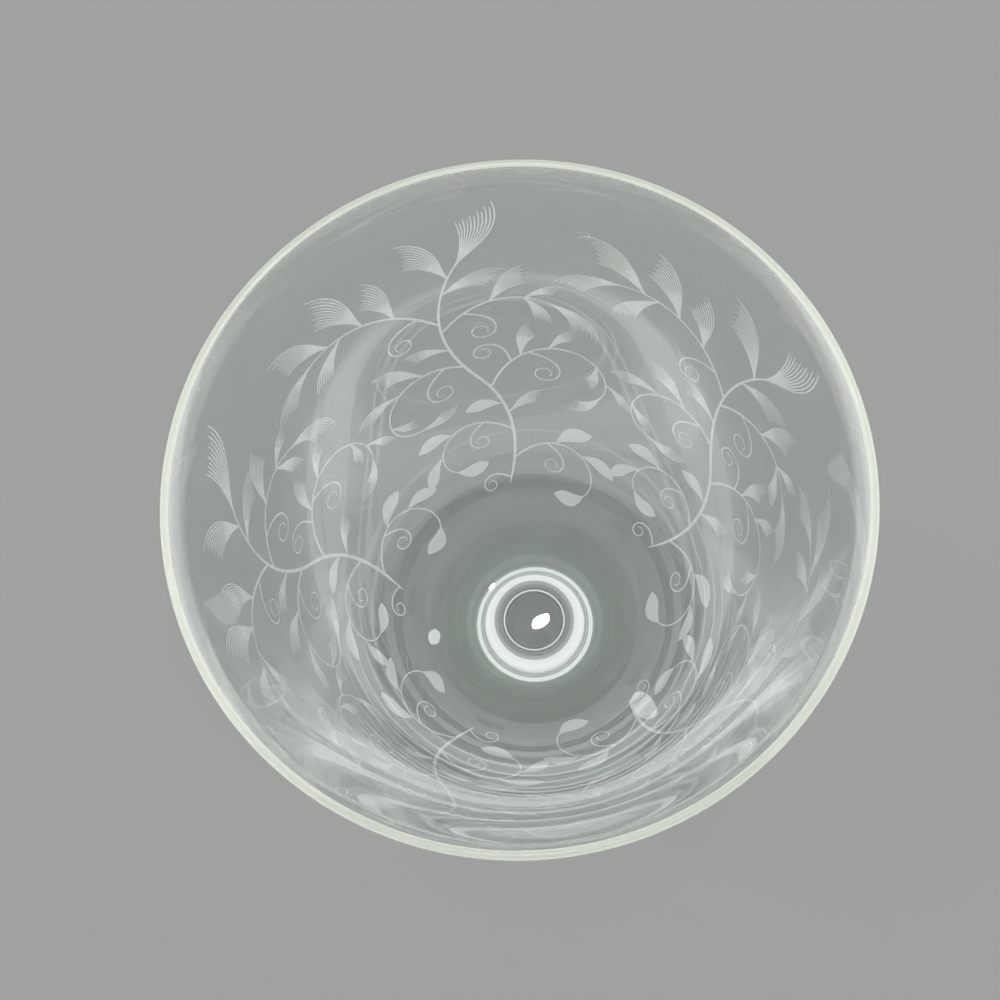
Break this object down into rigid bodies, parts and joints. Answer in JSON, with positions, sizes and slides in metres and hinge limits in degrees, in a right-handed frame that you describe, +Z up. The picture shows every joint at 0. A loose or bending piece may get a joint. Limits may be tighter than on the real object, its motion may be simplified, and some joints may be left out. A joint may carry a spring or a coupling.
{
  "type": "footed iced tea glass",
  "caption": "Tall footed drinking glass with a deep, full, round-bottomed bowl, a short plain stem and a low domed round foot, for iced tea or water.",
  "frame": {"origin": "centre of the foot's bearing ring, on the table", "axes": "+Z up along the glass's axis, from the foot to the mouth; -Y faces the viewer of the picture"},
  "size_m": [0.084, 0.084, 0.16],
  "materials": {
    "bowl_glass": "clear polished, with a matt engraved leaf scroll on the outside",
    "stem_glass": "clear polished",
    "foot_glass": "clear polished"
  },
  "bodies": {
    "root": {"bowl": "bowl_glass", "stem": "stem_glass", "foot": "foot_glass"}
  },
  "joints": []
}
